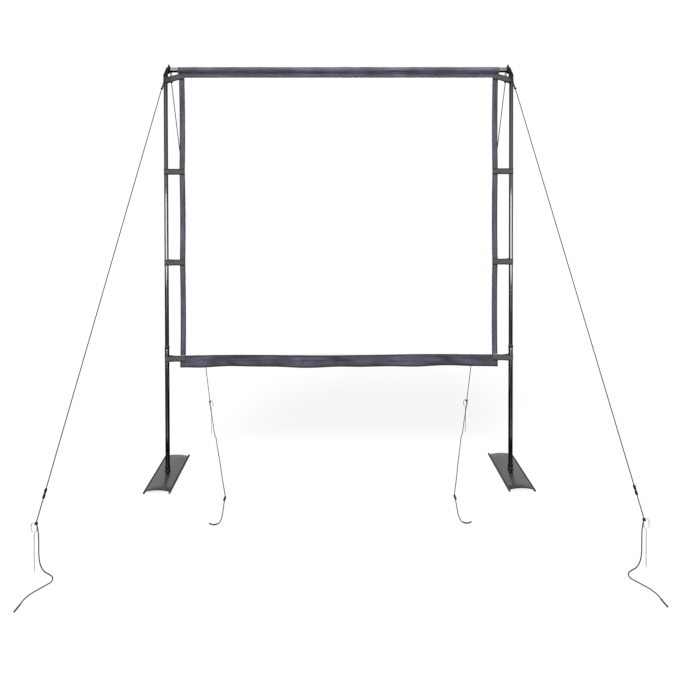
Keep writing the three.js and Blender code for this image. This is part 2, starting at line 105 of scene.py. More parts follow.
ELBOW_DROP = 0.032
ELBOW_INSET = 0.026
ELBOW_THICKNESS = 0.022
ELBOW_BEVEL = 0.002
ELBOW_SHOULDER = 0.004
ELBOW_CORNER = 0.017
ELBOW_FILLET = 0.012
ELBOW_EDGE = 0.0022
ELBOW_SPIGOT = 0.045
SPIGOT_ROOT = 0.002  # of a spigot, inside the elbow
PARTING_LINE = (0.0005, 0.0002, 0.00025)  # half widths at its foot and top, and its height
EYE_RING = 0.0065  # to the middle of the wire
EYE_WIRE = 0.0036
EYE_SHANK = 0.006
EYE_FLANGE = (0.0012, 0.0018)  # heights of its edge and of its top

BORDER_THICKNESS = 0.0022
BORDER_LAP = 0.0045  # over the white cloth
BORDER_WIDTH = 0.0272
BORDER_TRIM = 0.0005  # at its ends
PUCKER = 0.0005
SCALLOP = 0.0025  # how far the side draws in between two straps
STRAP_PULL = 0.004  # how far a strap pulls the side out
SLEEVE_CLOTH = 0.0009
SLEEVE_SEAM_DROP = 0.018
SLEEVE_GAPE = 0.00078  # from the middle of the seam to either layer
SLEEVE_EASE = (0.0012, 0.0009)  # room round the bar, and how far it varies
SLEEVE_SAG = 0.0007
SLEEVE_RIPPLE = 0.0006
SEAM_ROLL = 0.006  # the fold above the sleeve's seam, where the sleeve's painted light is centred
HEM_END = 0.026  # from the hem's end to the seam that closes it
HEM_STITCH_INSET = 0.004
HEM_WAVE = (0.0026, 0.97, 0.45)  # height, length and the place of a crest
HEM_SWELLS = ((0.0075, 11.5, 0.8), (0.005, 23.0, 2.1))  # depth, radians in a metre, start
HEM_FOLD = 0.0017
HEM_DENT = 0.0022
WHITE_CLOTH = 0.0006
WHITE_TUCK = (0.006, 0.004)  # under the hem and the sleeve
BILLOW = 0.005
BILLOW_UNEVEN = 0.0022
CREASE = 0.0009  # height of the creases that fan out from a strap
CREASE_REACH = 0.2
CLOTH_ANGLE = 80  # degrees, in place of SHARP_ANGLE
STRAP_LAYER = 0.0008
STRAP_LAP = 0.02
STRAP_REACH = 0.07
STRAP_JOIN = 0.028
STRAP_END = 0.004  # from its return's end to the border, and from the loop to the nearest seam
STRAP_EASE = 0.0005
STRAP_RISE = 0.017  # of the top strap, from the pole to the cloth
THREAD = 0.00028  # radius
STITCH = 0.004
STRAP_STITCH = 0.0028
# Shares of the way to the next stitch, and heights as shares of the thread's radius
STITCH_SHAPE = ((0.08, -0.4), (0.25, 0.5), (0.6, 0.5), (0.77, -0.4))
STITCH_INSET = 0.003  # from a strap's edge, and between two lines

ROPE = 0.004  # diameter
BRAID = (4, 0.007)  # strands each way round the rope, and from one to the next along it
KNOT = 0.0057  # radius of a knot's turns
KNOT_LOBES = (0.62, 0.38, 0.45)  # middle, swing and rise of its turns, as shares of that
KNOT_ROPE = ROPE * 0.46  # radius of the rope in a tight knot
BIGHT_ARC = (-20, 140)  # degrees round the eye's wire
LOOP_EXIT = (0.006, 0.004, 0.002)  # from the eye: out, down and off the rope
# Shares of the upper loop's length, and how far it is off the rope there
LOOP_ROUTE = ((0.2, 0.0052), (0.5, 0.0062), (0.75, 0.0052), (1, 0.0035))
SLIDER_LENGTH = 0.036
SLIDER_RADIUS = 0.005
SLIDER_GROOVE = 0.0012
SLIDER_CHAMFER = 0.003
SLIDER_EDGE = 0.0008
PEG_WIRE = 0.004
PEG_ROD = 0.154
PEG_POINT = 0.014
PEG_BEND = 0.012
PEG_RING = (0.011, 0.0195)  # half width and half height, to the middle of the wire
PEG_RING_ARC = (-60, 250)  # degrees
KNOT_TURN = 45  # degrees up the peg's ring
KNOT_NECK = 0.012  # of straight rope above the peg's knot
STOP_KNOT = (0.532, -0.264)  # X and Y, on the tail of a back rope
STOP_TURNS = 8
TIP_LENGTH = 0.042  # the shrunk sleeve on a rope's loose end
TIP_RADIUS = 0.0027
FLOOR_LINE = ROPE / 2 + 0.0002  # height of a rope that lies on the floor
FLOOR = (-0.0006, 30)  # height and half width

# Loose ends of the ropes from the knot on the peg; where only X and Y are given, the rope lies on
# the floor.
FRONT_TAIL = [
    (1.140, -0.811, 0.181),
    (1.135, -0.812, 0.150),
    (1.134, -0.812, 0.110),
    (1.134, -0.811, 0.066),
    (1.129, -0.811, 0.034),
    (1.115, -0.813, 0.011),
    (1.094, -0.818),
    (1.074, -0.835),
    (1.066, -0.860),
    (1.086, -0.895),
    (1.108, -0.928),
    (1.119, -0.962),
    (1.119, -0.994),
    (1.121, -1.026),
]
BACK_TAIL = [
    (0.744, 0.492, 0.180),
    (0.740, 0.489, 0.150),
    (0.733, 0.487, 0.110),
    (0.726, 0.485, 0.066),
    (0.720, 0.480, 0.028),
    (0.713, 0.466, 0.008),
    (0.699, 0.432),
    (0.685, 0.372),
    (0.662, 0.281),
    (0.633, 0.164),
    (0.603, 0.043),
    (0.578, -0.062),
    (0.552, -0.165),
    (0.534, -0.241),
    (0.528, -0.310),
    (0.520, -0.390),
    (0.518, -0.440),
    (0.524, -0.472),
    (0.542, -0.483),
    (0.563, -0.472),
]


class Guy(NamedTuple):
    """What differs between the front and the back guy rope of a side."""

    facing: int  # -1 in front of the screen, 1 behind it
    peg: tuple  # X and Y on the floor
    tail: list
    loop: float  # from the eye to the knot that closes the upper loop
    slider: float  # from the knot on the peg up to the slider
    travel: float  # how far up from there the slider runs
    length: float


GUYS = {
    "front": Guy(-1, (1.154, -0.806), FRONT_TAIL, 0.134, 0.103, 0.3, 2.48),
    "back": Guy(1, (0.738, 0.5), BACK_TAIL, 0.08, 0.68, 0.1, 3.13),
}

# Places taken from the frame
lower_low, lower_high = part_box("right_lower_pole")
upper_low, upper_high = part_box("right_upper_pole")
bar_low, bar_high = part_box("right_top_bar")
collar_low, collar_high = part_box("right_lock_collar")
collet_low, collet_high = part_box("right_lock_collet")
socket_low, socket_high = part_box("right_foot_socket")
plate_low, plate_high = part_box("right_foot_plate")
strip_low, strip_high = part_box("right_foot_outer_strip")
white_low, white_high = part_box("screen_fabric")
border_low, border_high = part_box("right_side_border")
hem_low, hem_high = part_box("bottom_hem")
sleeve_low, sleeve_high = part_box("top_sleeve")
eye_low, eye_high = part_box("right_rope_eye")
screw_low, screw_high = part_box("right_foot_screw")

pole_x = (lower_low.x + lower_high.x) / 2
pole_foot = Vector((pole_x, 0, 0))
lower_radius = (lower_high.x - lower_low.x) / 2
upper_radius = (upper_high.x - upper_low.x) / 2
socket_radius = (socket_high.x - socket_low.x) / 2
bar_height = (bar_low.z + bar_high.z) / 2
bar_radius = (bar_high.z - bar_low.z) / 2
half_white = white_high.x
hem_height = hem_high.z - hem_low.z
eye_place = Vector(((eye_low.x + eye_high.x) / 2, 0, eye_high.z - EYE_RING - EYE_WIRE / 2))
strap_boxes = [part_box(f"right_strap_{k}") for k in range(1, 5)]
strap_half = (strap_boxes[1][1].z - strap_boxes[1][0].z) / 2
strap_heights = [high.z - strap_half for low, high in strap_boxes]

sleeve_skirt = bar_height - SLEEVE_SEAM_DROP - sleeve_low.z  # below the seam
sleeve_girth = 2 * sleeve_skirt + tau * (bar_radius + SLEEVE_CLOTH)

arch_half = FOOT_WIDTH / 2
arch_under = (arch_half**2 + FOOT_RISE**2) / (2 * FOOT_RISE)
arch_over = arch_under + PLATE
arch_middle = STRIP_SOLE + FOOT_RISE - arch_under
arch_angle = asin(arch_half / arch_under)


# Shapes
def run(points):
    """Distance of each point along a line of points."""
    total = [0.0]
    for a, b in zip(points, points[1:]):
        total.append(total[-1] + (b - a).length)
    return total


def spaced(low, high, count):
    """Values from low to high in count equal steps."""
    return [low + (high - low) * k / count for k in range(count + 1)]


def around(count):
    """Angles of count points round a circle."""
    return [tau * k / count for k in range(count)]


def polar(reach, angle, height=0.0):
    return Vector((reach * cos(angle), reach * sin(angle), height))


def bend(start, corner, end, t):
    """A point on the curve from start to end that a corner draws towards it."""
    return start * (1 - t) ** 2 + corner * (2 * t * (1 - t)) + end * t**2


def smooth_step(value):
    value = min(max(value, 0.0), 1.0)
    return value * value * (3 - 2 * value)


class Skin:
    """Points and faces of one piece, with a place in metres for every face corner."""

    def __init__(self):
        self.points = []
        self.faces = []
        self.places = []

    def rows(self, rows, ring=False, loop=False, capped=False):
        """Joins rows of points: ring closes each row, loop joins the last row to the first, and
        capped closes both ends."""
        first = len(self.points)
        width = len(rows[0])
        for row in rows:
            self.points.extend(row)
        breadth = run(rows[len(rows) // 2] + rows[len(rows) // 2][:1])
        length = run([row[0] for row in rows] + rows[0][:1])
        for i in range(len(rows) - (not loop)):
            for j in range(width - (not ring)):
                corners = [(i, j), (i + 1, j), (i + 1, j + 1), (i, j + 1)]
                self.faces.append([first + a % len(rows) * width + b % width for a, b in corners])
                self.places.append([(breadth[b], length[a]) for a, b in corners])
        for i in (0, len(rows) - 1) if capped else ():
            self.faces.append([first + i * width + j for j in range(width)])
            self.places.append([(breadth[j], length[i]) for j in range(width)])
        return self

    def solid(self, rows):
        """Joins closed rows and caps both ends."""
        return self.rows(rows, ring=True, capped=True)


def put(name, data):
    """A new object in the scene."""
    thing = bpy.data.objects.new(name, data)
    bpy.context.scene.collection.objects.link(thing)
    return thing


def make(name, skin, look, body=None, nodes=(), sign=1):
    """One piece from a skin, mirrored where sign is -1. A look is a material and its slot; the slot is
    not used.
    """
    material, slot = look
    mesh = bpy.data.meshes.new(name)
    mesh.from_pydata([(sign * x, y, z) for x, y, z in skin.points], [], skin.faces)
    corners = [value for face in skin.places for place in face for value in place]
    mesh.uv_layers.new(name="surface").data.foreach_set("uv", corners)
    shell = bmesh.new()
    shell.from_mesh(mesh)
    bmesh.ops.recalc_face_normals(shell, faces=shell.faces)
    shell.to_mesh(mesh)
    shell.free()
    mesh.polygons.foreach_set("use_smooth", [True] * len(mesh.polygons))
    mesh.set_sharp_from_angle(angle=radians(SHARP_ANGLE))
    mesh.materials.append(material)
    piece = put(name, mesh)
    if nodes:
        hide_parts(*nodes)
    if body:
        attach(piece, body)
    return piece


def fit(side, name, skin, look, body, node=None):
    """One of a side's pieces; its name and its node's begin with the side's."""
    nodes = [f"{side}_{node}"] if node else ()
    return make(f"{side}_{name}", skin, look, body, nodes, SIDES[side])


def soften(outline, size, steps=3):
    """A closed outline with its corners rounded."""
    smooth = []
    for i, corner in enumerate(outline):
        corner = Vector(corner)
        before = Vector(outline[i - 1]) - corner
        after = Vector(outline[(i + 1) % len(outline)]) - corner
        start = corner + before.normalized() * min(size, before.length * 0.45)
        end = corner + after.normalized() * min(size, after.length * 0.45)
        smooth += [bend(start, corner, end, t) for t in spaced(0, 1, steps)]
    return smooth


def directions(path, closed=False):
    """The way ahead at each point of a path."""
    before = (path[-1:] if closed else path[:1]) + path[:-1]
    after = path[1:] + (path[:1] if closed else path[-1:])
    return [(b - a).normalized() for a, b in zip(before, after)]


def inset(outline, depth):
    """A closed outline moved inwards by depth; it runs anticlockwise."""
    ways = directions(outline, closed=True)
    return [point + Vector((-way.y, way.x)) * depth for point, way in zip(outline, ways)]


def turn_to(axis):
    """The turn that brings Z to an axis."""
    return axis.to_track_quat("Z", "Y").to_matrix()


def turned(profile, place, axis=UP, sides=48):
    """Rows round an axis. A profile point is (radius, height); radius may depend on the angle."""
    turn = turn_to(axis)
    rows = []
    for radius, height in profile:
        row = []
        for angle in around(sides):
            reach = radius(angle) if callable(radius) else radius
            row.append(place + turn @ polar(reach, angle, height))
        rows.append(row)
    return rows


def lathe(profile, place, axis=UP, sides=48):
    """A closed profile turned round an axis."""
    return Skin().rows(turned(profile, place, axis, sides), ring=True, loop=True)


def tube(outer, inner, bottom, top, place, axis=UP):
    """A tube with rounded rims."""
    return lathe(soften([(outer, bottom), (outer, top), (inner, top), (inner, bottom)], RIM), place, axis)


def swept(path, radius, sides=12, closed=False):
    """Rings of points round a path, carried along it without twisting."""
    ahead = directions(path, closed)
    sideways = [ahead[0].orthogonal().normalized()]
    for direction in ahead[1:] + ahead[:1]:
        last = sideways[-1]
        sideways.append((last - direction * last.dot(direction)).normalized())
    twist = 0.0
    if closed:
        end = sideways[-1]
        twist = atan2(ahead[0].cross(sideways[0]).dot(end), sideways[0].dot(end))
    rows = []
    for i, point in enumerate(path):
        across = ahead[i].cross(sideways[i])
        reach = radius[i] if isinstance(radius, list) else radius
        row = []
        for angle in around(sides):
            angle -= twist * i / len(path)
            row.append(point + (sideways[i] * cos(angle) + across * sin(angle)) * reach)
        rows.append(row)
    return rows


def rod(path, radius, sides=12):
    """A round rod along a path, with closed ends."""
    return Skin().solid(swept(path, radius, sides))


def hoop(path, radius, sides):
    """A round rod along a closed path."""
    return Skin().rows(swept(path, radius, sides, closed=True), ring=True, loop=True)


def between(t, start, end, first, second):
    """The value at t, where it goes evenly from first at start to second at end."""
    return first * ((end - t) / (end - start)) + second * ((t - start) / (end - start))


def curve_through(points, steps):
    """A smooth line through points, a centripetal Catmull-Rom curve."""
    ends = [2 * points[0] - points[1], *points, 2 * points[-1] - points[-2]]
    line = []
    for a, b, c, d in zip(ends, ends[1:], ends[2:], ends[3:]):
        t1 = sqrt((b - a).length)
        t2 = t1 + sqrt((c - b).length)
        t3 = t2 + sqrt((d - c).length)
        for k in range(steps):
            t = t1 + (t2 - t1) * k / steps
            ab = between(t, 0, t1, a, b)
            bc = between(t, t1, t2, b, c)
            cd = between(t, t2, t3, c, d)
            abc = between(t, 0, t2, ab, bc)
            bcd = between(t, t1, t3, bc, cd)
            line.append(between(t, t1, t2, abc, bcd))
    return line + [points[-1]]


# Materials
def grey(shade, blue=None):
    """A grey, or one with another share of blue."""
    return (shade, shade, shade if blue is None else blue)


CLOTH_GREY = grey(0.106, 0.136)
MATT = {"Specular_IOR_Level": 0.1, "Sheen_Weight": 0.03}


class Nodes:
    """The shader nodes of one tree."""

    def __init__(self, tree):
        self.tree = tree

    def node(self, kind, settings=None, **inputs):
        """Adds a node. An input is named, or numbered as in _0."""
        made = self.tree.nodes.new(kind)
        for key, value in (settings or {}).items():
            setattr(made, key, value)
        for key, value in inputs.items():
            socket = made.inputs[int(key[1:])] if key[1:].isdigit() else made.inputs[key]
            if isinstance(value, bpy.types.NodeSocket):
                self.tree.links.new(value, socket)
            else:
                socket.default_value = value
        return made

    def math(self, operation, first, second=0.0):
        return self.node("ShaderNodeMath", {"operation": operation}, _0=first, _1=second).outputs[0]

    def times(self, first, second):
        return self.math("MULTIPLY", first, second)

    def plus(self, first, second):
        return self.math("ADD", first, second)

    def spread(self, value, low, high, start=0.3, end=0.7):
        """A value of about start to end brought to the range low to high."""
        return self.node("ShaderNodeMapRange", _0=value, _1=start, _2=end, _3=low, _4=high).outputs[0]


class Finish(Nodes):
    """A procedural material: a Principled shader and the nodes that feed it."""

    def __init__(self, name, **sockets):
        self.material = bpy.data.materials.new(name)
        self.material.use_nodes = True
        super().__init__(self.material.node_tree)
        self.shader = self.tree.nodes["Principled BSDF"]
        for socket, value in sockets.items():
            self.shader.inputs[socket.replace("_", " ")].default_value = value
        self.normal = None

    def feed(self, value, socket):
        self.tree.links.new(value, self.shader.inputs[socket])

    def colour(self, factor, first, second):
        """The base colour, from first to second."""
        settings = {"data_type": "RGBA", "clamp_factor": False}
        mixed = self.node("ShaderNodeMix", settings, _0=factor, _6=(*first, 1), _7=(*second, 1))
        self.feed(mixed.outputs[2], "Base Color")

    def roughness(self, *spread):
        self.feed(self.spread(*spread), "Roughness")

    def bump(self, height, strength, distance):
        """Adds a relief to those before it."""
        inputs = {"Height": height, "Strength": strength, "Distance": distance}
        if self.normal is not None:
            inputs["Normal"] = self.normal
        self.normal = self.node("ShaderNodeBump", **inputs).outputs[0]
        self.feed(self.normal, "Normal")

    def place(self, kind="Object", scale=(1, 1, 1)):
        """Coordinates on the piece: Object in its own space, UV along its surface, both in metres."""
        source = self.node("ShaderNodeTexCoord").outputs[kind]
        return self.node("ShaderNodeMapping", Vector=source, Scale=scale).outputs[0]

    def noise(self, scale, detail=3.0, kind="Object", stretch=(1, 1, 1)):
        where = self.place(kind, stretch)
        return self.node("ShaderNodeTexNoise", Vector=where, Scale=scale, Detail=detail).outputs[0]

    def wave(self, value, count):
        """A sine of value with count turns in a metre, from 0 to 1."""
        sine = self.math("SINE", self.times(value, tau * count))
        return self.plus(self.times(sine, 0.5), 0.5)

    def surface(self):
        """U and V of the surface, in metres."""
        parts = self.node("ShaderNodeSeparateXYZ", Vector=self.place("UV"))
        return parts.outputs[0], parts.outputs[1]

    def edge(self, width, seam=None):
        """Distance from the nearer edge of a strip of cloth, or from a seam that far up it."""
        across = self.math("PINGPONG", self.surface()[0], width / 2)
        if seam is None:
            return across
        return self.math("ABSOLUTE", self.math("SUBTRACT", across, seam))

    def end(self, length):
        """Distance from the nearer end of a piece of that length."""
        return self.math("PINGPONG", self.surface()[1], length / 2)

    def weave(self, count, strength, distance):
        """A plain weave of count threads in a metre, and its height from 0 to 1."""
        over = self.math("MAXIMUM", *(self.wave(line, count / 2) for line in self.surface()))
        self.bump(over, strength, distance)
        return over


def gloss_black():
    finish = Finish("gloss_black", Coat_Weight=0.4, Coat_Roughness=0.06)
    scuffs = finish.noise(40, 5, stretch=(9, 9, 0.25))
    finish.roughness(scuffs, 0.10, 0.15, 0.35, 0.75)
    finish.colour(finish.noise(6, 4), grey(0.0025, 0.003), grey(0.004, 0.005))
    finish.bump(finish.noise(900, 2), 0.03, 0.0002)
    return finish.material


def satin_grey():
    finish = Finish("satin_grey", Metallic=1.0)
    cloud = finish.noise(14, 4)
    # Painted shade: the plate darkens over the last 3 mm of its front and back ends.
    painted_end_shade = finish.spread(finish.end(plate_high.y - plate_low.y), 0.12, 1.0, 0.0004, 0.003)
    finish.colour(finish.times(finish.spread(cloud, 0.93, 1.0), painted_end_shade), grey(0.0), grey(0.29, 0.292))
    finish.roughness(cloud, 0.21, 0.28)
    finish.bump(finish.noise(2600, 1), 0.1, 0.0001)
    finish.bump(finish.noise(260, 2), 0.05, 0.0003)
    return finish.material


def moulded(name, dark, light, roughness, shine=0.05):
    finish = Finish(name, Specular_IOR_Level=shine)
    cloud = finish.noise(35, 4)
    finish.colour(cloud, dark, light)
    finish.roughness(cloud, roughness - 0.07, roughness + 0.08)
    finish.bump(finish.noise(1800, 2), 0.22, 0.00015)
    return finish.material


def dusty_rubber():
    finish = Finish("rubber")
    dust = finish.noise(60, 5)
    finish.colour(finish.spread(dust, 0, 1, 0.4, 0.8), grey(0.026, 0.027), grey(0.05))
    finish.roughness(dust, 0.7, 0.92)
    finish.bump(finish.noise(1300, 3), 0.3, 0.0002)
    return finish.material


def plated_steel():
    finish = Finish("steel", Metallic=0.35)
    finish.colour(finish.noise(300, 3), grey(0.78, 0.79), grey(0.92, 0.93))
    finish.roughness(finish.noise(120, 4), 0.32, 0.5)
    finish.bump(finish.noise(700, 3), 0.08, 0.0002)
    return finish.material


def screen_white():
    finish = Finish("white_fabric", Sheen_Weight=0.1)
    finish.weave(2600, 0.15, 0.0001)
    finish.colour(finish.noise(5, 4), grey(0.94), grey(0.96, 0.958))
    finish.roughness(finish.noise(900, 2), 0.78, 0.92)
    return finish.material


def border_grey(name, width, fade, deep=0.1, tone=1.0, seam=None, length=None):
    """Grey border cloth of a width. Over fade its tone turns to deep times that at the folded edges
    and the ends, or along a seam: painted shade where deep is below 1, painted light where it is above 1."""
    finish = Finish(name, **MATT, Sheen_Roughness=0.5)
    over = finish.weave(1800, 0.35, 0.00025)
    cloud = finish.noise(9, 5)
    streaks = finish.noise(1, 4, "UV", (90, 5, 1))
    near = finish.edge(width, seam)
    if length:
        near = finish.math("MINIMUM", near, finish.end(length))
    # Painted shade in the weave's hollows: darker where the threads dip.
    light = finish.spread(over, 0.6, 1.0, 0.3, 1.0)
    light = finish.times(light, finish.spread(cloud, 0.6, 1.25))
    light = finish.times(light, finish.spread(streaks, 0.6, 1.28))
    # Painted shade along the folded edges and the ends where deep is below 1; painted light along a seam
    # where it is above 1.
    light = finish.times(light, finish.spread(near, deep * tone, tone, 0.001, fade))
    finish.colour(light, grey(0.012, 0.016), CLOTH_GREY)
    finish.roughness(over, 0.9, 0.74, 0, 1)
    return finish.material


def strap_webbing(width):
    finish = Finish("webbing", **MATT)
    u, v = finish.surface()
    ribs = finish.wave(u, 520)
    slant = finish.wave(finish.plus(v, finish.times(ribs, 0.0006)), 700)
    threads = finish.times(ribs, finish.plus(finish.times(slant, 0.5), 0.5))
    # Painted shade: the strap darkens towards both its edges.
    shade = finish.spread(finish.edge(width), 0.1, 1.0, 0.001, 0.008)
    # Painted shade in the hollows between the ribs: the colour follows their relief.
    light = finish.times(finish.spread(threads, 0.55, 1.15, 0, 1), shade)
    finish.colour(light, grey(0.016, 0.017), grey(0.13, 0.136))
    finish.roughness(threads, 0.9, 0.72, 0, 1)
    finish.bump(threads, 0.6, 0.0004)
    return finish.material


def rope_braid():
    finish = Finish("rope", **MATT)
    u, v = finish.surface()
    strands, pitch = BRAID
    turns = finish.times(u, strands / (pi * ROPE))
    along = finish.times(v, 1 / pitch)
    right = finish.wave(finish.plus(turns, along), 1)
    left = finish.wave(finish.math("SUBTRACT", turns, along), 1)
    plait = finish.math("MAXIMUM", right, left)
    # Painted shade in the grooves between the strands: darker where the braid dips.
    finish.colour(plait, grey(0.006, 0.007), grey(0.028, 0.030))
    finish.roughness(plait, 0.92, 0.66, 0, 1)
    finish.bump(plait, 0.7, 0.0006)
    return finish.material


def grey_thread():
    finish = Finish("thread", Roughness=0.6)
    fibre = finish.noise(4000, 2)
    finish.colour(fibre, grey(0.07, 0.08), grey(0.13, 0.14))
    finish.bump(fibre, 0.3, 0.0001)
    return finish.material


black_steel = moulded("black_steel", grey(0.008, 0.009), grey(0.014, 0.015), 0.35)
# Painted shade along the border's and the hem's edges, and at the hem's ends.
border_cloth = border_grey("border_cloth", BORDER_WIDTH, 0.0065, tone=1.34)
hem_cloth = border_grey("hem_cloth", hem_height, 0.009, length=hem_high.x - hem_low.x)
# Painted light: the sleeve is brighter along the fold above its seam, in place of the shade under the
# roll round the bar.
sleeve_cloth = border_grey("sleeve_cloth", sleeve_girth, 0.012, 1.9, 1.55, sleeve_skirt + SEAM_ROLL)

GLOSS_BLACK = (gloss_black(), "gloss_black")
SATIN_GREY = (satin_grey(), "satin_grey")
BLACK_PLASTIC = (moulded("black_plastic", grey(0.009, 0.010), grey(0.018, 0.019), 0.42), "black_plastic")
PALE_PLASTIC = (moulded("pale_plastic", grey(0.13, 0.135), grey(0.17, 0.175), 0.4, 0.15), "pale_plastic")
BLACK_SCREW = (black_steel, "steel")
BLACK_WELD = (black_steel, "gloss_black")
RUBBER = (dusty_rubber(), "rubber")
STEEL = (plated_steel(), "steel")
WHITE_FABRIC = (screen_white(), "white_fabric")
BORDER_CLOTH = (border_cloth, "grey_fabric")
HEM_CLOTH = (hem_cloth, "grey_fabric")
SLEEVE_GREY = (sleeve_cloth, "grey_fabric")
WEBBING = (strap_webbing(2 * strap_half), "webbing")
ROPE_BRAID = (rope_braid(), "rope")
THREAD_GREY = (grey_thread(), "webbing")


# Nodes that stay as the frame has them
def repaint(node, look):
    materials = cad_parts[node].data.materials
    materials.clear()
    materials.append(look[0])


repaint("top_bar_spigot", STEEL)
for side in SIDES:
    for node, look in (("foot_bolt", STEEL), ("foot_nut", STEEL), ("pole_plug", BLACK_PLASTIC)):
        repaint(f"{side}_{node}", look)


# Camera
def add_camera():
    lens = bpy.data.cameras.new("photograph")
    lens.sensor_width = 36
    lens.lens = FOCAL / IMAGE * lens.sensor_width
    lens.shift_x = 0.5 - AXIS_PIXEL[0] / IMAGE
    lens.shift_y = AXIS_PIXEL[1] / IMAGE - 0.5
    camera = put("photograph", lens)
    turn = Matrix.Rotation(radians(EYE_TURN), 4, "Z")
    place = Matrix.Translation((0, -EYE_DISTANCE, EYE_LEVEL))
    aim = Matrix.Rotation(radians(90 - EYE_PITCH), 4, "X")
    roll = Matrix.Rotation(radians(EYE_ROLL), 4, "Z")
    camera.matrix_world = turn @ place @ aim @ roll
    bpy.context.scene.camera = camera


add_camera()


# Guy ropes, pegs and sliders
def trefoil(place, axis, size=KNOT):
    """An overhand knot pulled tight, as a closed loop of rope."""
    turn = turn_to(axis)
    middle, swing, rise = KNOT_LOBES
    path = []
    for angle in around(72):
        reach = size * (middle + swing * cos(3 * angle))
        lift = size * rise * sin(3 * angle)
        path.append(place + turn @ polar(reach, 2 * angle, lift))
    return hoop(path, KNOT_ROPE, 10)


def barrel_knot(place, axis, turns, reach):
    """Rope wound round an axis."""
    turn = turn_to(axis)
    steps = 14
    path = []
    for k in range(turns * steps + 1):
        height = ROPE * 0.95 * (k / steps - turns / 2)
        path.append(place + turn @ polar(reach, tau * k / steps, height))
    return rod(path, KNOT_ROPE, 10)


def on_peg(guy, x, height):
    """A point in the plane of a guy's peg, x out from its rod."""
    return Vector((guy.peg[0] + guy.facing * x, guy.peg[1], height))


def on_ring(guy, angle):
    """A point on the ring of a guy's peg."""
    return on_peg(guy, PEG_RING[0] * cos(angle), PEG_ROD + PEG_RING[1] * (1 + sin(angle)))


def add_peg(side, which):
    guy = GUYS[which]
    start, end = (radians(angle) for angle in PEG_RING_ARC)
    ring = [on_ring(guy, angle) for angle in spaced(start, end, 48)]
    foot = on_peg(guy, 0, PEG_ROD - PEG_BEND)
    corner = on_peg(guy, 0, PEG_ROD)
    neck = [bend(foot, corner, ring[0], k / 9) for k in range(9)]
    heights = (0, PEG_POINT / 3, PEG_POINT, PEG_POINT * 1.2, PEG_ROD / 2)
    path = [on_peg(guy, 0, height) for height in heights] + neck + ring
    radius = [PEG_WIRE / 2] * len(path)
    radius[0] = PEG_WIRE / 8
    radius[1] = PEG_WIRE / 4
    radius[-1] = PEG_WIRE / 4
    return fit(side, f"{which}_peg_wire", rod(path, radius, 16), STEEL, "stand", f"{which}_peg")


def add_slider(side, which, middle, axis):
    half = SLIDER_LENGTH / 2
    upper = [
        (SLIDER_RADIUS - SLIDER_GROOVE, half * 0.22),
        (SLIDER_RADIUS, half * 0.36),
        (SLIDER_RADIUS, half - SLIDER_CHAMFER),
        (SLIDER_RADIUS * 0.8, half),
        (ROPE / 2 + GAP, half),
    ]
    lower = [(radius, -height) for radius, height in reversed(upper)]
    skin = lathe(soften(lower + upper, SLIDER_EDGE), middle, axis, 32)
    body = f"{side}_{which}_tensioner"
    return fit(side, f"{which}_slider_barrel", skin, BLACK_PLASTIC, body, f"{which}_slider")


def add_rope(side, which):
    """A guy rope from the eye to its peg, tied there, with its loose tail; the rope's upper end is
    looped through the eye and tied to itself."""
    guy = GUYS[which]

    def piece(part, skin, body, node=None):
        return fit(side, f"{which}_{part}", skin, ROPE_BRAID, body, node)

    reach = EYE_RING + EYE_WIRE / 2 + GAP + ROPE / 2
    start = eye_place + Vector((0, guy.facing * reach, 0))
    knot = on_ring(guy, radians(KNOT_TURN))
    down = (knot - start).normalized()
    stay = (knot - start).length
    marks = [start + down * (stay * k / 24) for k in range(24)]
    tail = [Vector((*point, FLOOR_LINE)[:3]) for point in guy.tail]
    path = curve_through([*marks, knot - down * KNOT_NECK, knot, *tail], 10)
    rope = piece("rope_braid", rod(path, ROPE / 2), None, f"{which}_rope")

    across = down.cross(OUTWARD).normalized().cross(down)
    through = eye_place + UP * (EYE_RING * 0.15)
    out, drop, off = LOOP_EXIT
    loop_route = [through, through + Vector((0, guy.facing * out, -drop)) - across * off]
    for share, off in LOOP_ROUTE:
        loop_route.append(start + down * (guy.loop * share) - across * off)
    loop_path = curve_through(loop_route, 8)
    loop = piece("rope_loop", rod(loop_path, ROPE / 2), "mast")

    low, high = (radians(angle) for angle in BIGHT_ARC)
    bight = []
    for angle in spaced(low, high, 12):
        turn = Vector((0, guy.facing * cos(angle), sin(angle))) * (EYE_WIRE + ROPE) / 2
        bight.append(eye_place + Vector((0, guy.facing * EYE_RING, 0)) + turn)
    bight_piece = piece("rope_bight", rod(bight, ROPE / 2), "mast")

    loop_knot = piece("loop_knot", trefoil(start + down * guy.loop, down, KNOT * 0.9), "mast")
    knots = [loop_knot, piece("peg_knot", trefoil(knot, Vector((0, 1, 0.3)).normalized()), "stand")]
    lift = UP * (TIP_RADIUS - ROPE / 2)
    distance = run(path)
    tip = [point + lift for point, past in zip(path, distance) if past > distance[-1] - TIP_LENGTH]
    knots.append(piece("end_tip", rod(tip, TIP_RADIUS), "stand"))
    if which == "back":
        wrap = ROPE * 0.8
        stop = Vector((*STOP_KNOT, wrap + ROPE / 2))
        knots.append(piece("stop_knot", barrel_knot(stop, FORWARD, STOP_TURNS, wrap), "stand"))

    slider = add_slider(side, which, knot - down * guy.slider, down)
    wire = add_peg(side, which)
    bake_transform(rope)


# Feet
def arch_point(radius, angle):
    return Vector((radius * sin(angle), arch_middle + radius * cos(angle)))


def arch_line(radius, start, end, steps):
    return [arch_point(radius, angle) for angle in spaced(start, end, steps)]


